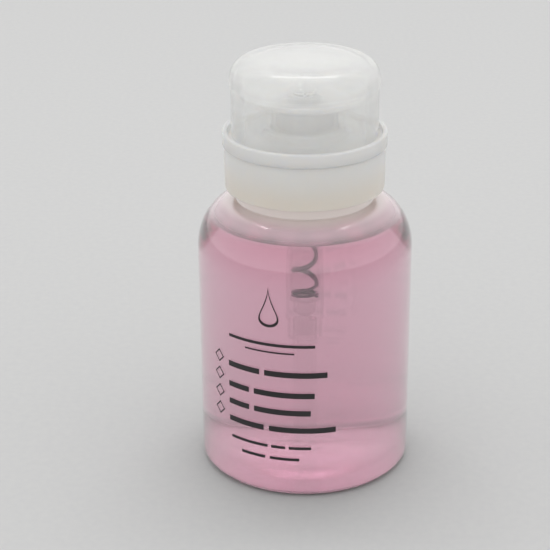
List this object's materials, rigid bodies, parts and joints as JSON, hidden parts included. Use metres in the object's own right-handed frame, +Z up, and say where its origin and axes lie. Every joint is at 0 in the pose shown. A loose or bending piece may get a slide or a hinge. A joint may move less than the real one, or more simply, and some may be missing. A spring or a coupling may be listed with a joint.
{
  "type": "push-down dispenser bottle",
  "caption": "Round clear bottle with a milky screw collar, a flip lid and a press dish that pumps liquid up through a spring-loaded barrel and dip tube.",
  "frame": {"origin": "centre of the base, on the surface the bottle stands on", "axes": "+Z up along the bottle's axis; the lid's hinge is at the back, +Y; the front of the bottle faces -Y"},
  "size_m": [0.062, 0.062, 0.1227],
  "materials": {
    "clear_plastic": "clear glossy PET",
    "pink_liquid": "clear pink liquid",
    "milky_plastic": "milky satin polypropylene",
    "frosted_plastic": "frosted translucent polypropylene",
    "natural_plastic": "natural satin polypropylene",
    "tube_plastic": "translucent polyethylene tube",
    "soft_plastic": "soft waxy polyethylene",
    "foam_gasket": "fine closed-cell foam",
    "spring_steel": "drawn stainless wire",
    "ball_steel": "polished stainless",
    "ball_glass": "clear glass",
    "black_ink": "black screen print"
  },
  "bodies": {
    "bottle": {"bottle": "clear_plastic", "remover_liquid": "pink_liquid"},
    "pump_unit": {"pump_housing": "natural_plastic", "cylinder_cap": "natural_plastic", "neck_gasket": "foam_gasket", "dip_tube": "tube_plastic", "return_spring": "spring_steel", "spring_seat": "natural_plastic"},
    "closure": {"screw_collar": "milky_plastic", "deck_ring": "milky_plastic"},
    "lid": {"flip_lid": "frosted_plastic"},
    "plunger": {"press_dish": "milky_plastic", "nozzle_insert": "natural_plastic", "stem": "natural_plastic", "piston": "natural_plastic", "piston_seal": "soft_plastic"},
    "inlet_valve": {"inlet_ball": "ball_glass"},
    "outlet_valve": {"outlet_ball": "ball_steel"}
  },
  "joints": [
    {"name": "pump_lift", "type": "slide", "parent": "bottle", "child": "pump_unit", "axis": [0, 0, 1], "range_m": [0, 0.00424]},
    {"name": "collar_turn", "type": "hinge", "parent": "pump_unit", "child": "closure", "pos_m": [0, 0, 0.0913], "axis": [0, 0, 1], "range_deg": [0, 360]},
    {"name": "lid_flip", "type": "hinge", "parent": "closure", "child": "lid", "pos_m": [0, 0.0236, 0.1039], "axis": [-1, 0, 0], "range_deg": [0, 130]},
    {"name": "dish_press", "type": "slide", "parent": "pump_unit", "child": "plunger", "axis": [0, 0, -1], "range_m": [0, 0.006], "stiffness_N_per_m": 700, "springref_m": -0.006, "deforming": ["return_spring"]},
    {"name": "inlet_ball_lift", "type": "slide", "parent": "pump_unit", "child": "inlet_valve", "axis": [0, 0, 1], "range_m": [0, 0.0009]},
    {"name": "outlet_ball_lift", "type": "slide", "parent": "plunger", "child": "outlet_valve", "axis": [0, 0, 1], "range_m": [0, 0.0008]}
  ],
  "couplings": [
    {"joint": "pump_lift", "follows": "collar_turn", "m_per_rad": 0.00067375}
  ]
}
